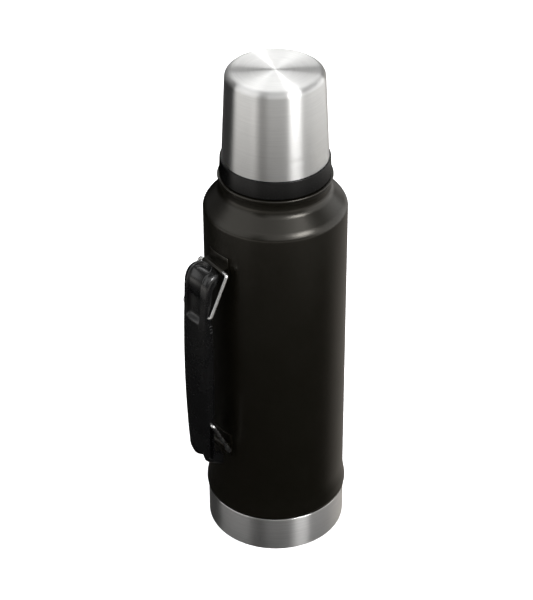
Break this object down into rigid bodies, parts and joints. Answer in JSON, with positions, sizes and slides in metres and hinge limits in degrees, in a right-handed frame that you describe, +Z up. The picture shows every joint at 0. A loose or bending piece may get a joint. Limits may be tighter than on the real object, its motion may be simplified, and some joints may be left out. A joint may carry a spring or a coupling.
{
  "type": "insulated growler",
  "caption": "Insulated steel growler: vacuum bottle with a stopper, a screw-on steel cup and a folding wire-and-grip handle.",
  "frame": {"origin": "centre of the underside", "axes": "+Z up along the bottle's axis, handle on +X"},
  "size_m": [0.1218, 0.0992, 0.359],
  "materials": {
    "body_paint": "satin black powder coat, slightly warm",
    "liner_steel": "drawn stainless steel",
    "foil": "thin reflective foil",
    "seal_metal": "grey sintered metal",
    "black_rubber": "black sealing bead",
    "base_steel": "circumferentially brushed stainless steel",
    "wire_chrome": "polished wire",
    "grip_plastic": "black moulded plastic, satin",
    "stopper_plastic": "black moulded plastic, satin",
    "foam": "rigid insulating foam",
    "silicone": "grey silicone",
    "cup_steel": "brushed stainless steel, circular brushing on top",
    "collar_plastic": "black moulded plastic, satin"
  },
  "bodies": {
    "bottle": {"outer_shell": "body_paint", "inner_liner": "liner_steel", "liner_bottom": "liner_steel", "foil_wrap": "foil", "vacuum_bottom": "liner_steel", "exhaust_seal": "seal_metal", "getter": "seal_metal", "seal_bead": "black_rubber", "base_cup": "base_steel", "top_bracket": "body_paint", "bottom_bracket": "body_paint"},
    "stopper_seals": {"stopper_gasket": "silicone", "stopper_flange_seal": "silicone"},
    "stopper": {"stopper_body": "stopper_plastic", "stopper_cap": "stopper_plastic", "stopper_foam": "foam", "stopper_plug": "stopper_plastic"},
    "cup_core": {"cup_foam": "foam"},
    "cup": {"cup_shell": "cup_steel", "cup_liner": "collar_plastic"},
    "upper_wire": {"top_wire": "wire_chrome"},
    "grip": {"grip_body": "grip_plastic", "grip_cover": "grip_plastic"},
    "lower_wire": {"bottom_wire": "wire_chrome"}
  },
  "joints": [
    {"name": "stopper_lift", "type": "slide", "parent": "bottle", "child": "stopper_seals", "axis": [0, 0, 1], "range_m": [0, 0.08]},
    {"name": "stopper_turn", "type": "hinge", "parent": "stopper_seals", "child": "stopper", "pos_m": [0, 0, 0.302], "axis": [0, 0, 1], "range_deg": [0, 720]},
    {"name": "cup_lift", "type": "slide", "parent": "stopper_seals", "child": "cup_core", "axis": [0, 0, 1], "range_m": [0, 0.09]},
    {"name": "cup_turn", "type": "hinge", "parent": "cup_core", "child": "cup", "pos_m": [0, 0, 0.297], "axis": [0, 0, 1], "range_deg": [0, 540]},
    {"name": "handle_swing", "type": "hinge", "parent": "bottle", "child": "upper_wire", "pos_m": [0.052, 0, 0.2316], "axis": [0, -1, 0], "range_deg": [0, 38]},
    {"name": "grip_follow", "type": "hinge", "parent": "upper_wire", "child": "grip", "pos_m": [0.066, 0, 0.2032], "axis": [0, -1, 0], "range_deg": [-38, 0]},
    {"name": "lower_wire_swing", "type": "hinge", "parent": "bottle", "child": "lower_wire", "pos_m": [0.052, 0, 0.0858], "axis": [0, -1, 0], "range_deg": [-38, 0]}
  ],
  "couplings": [
    {"joint": "grip_follow", "follows": "handle_swing", "ratio": -1},
    {"joint": "lower_wire_swing", "follows": "handle_swing", "ratio": -1}
  ]
}
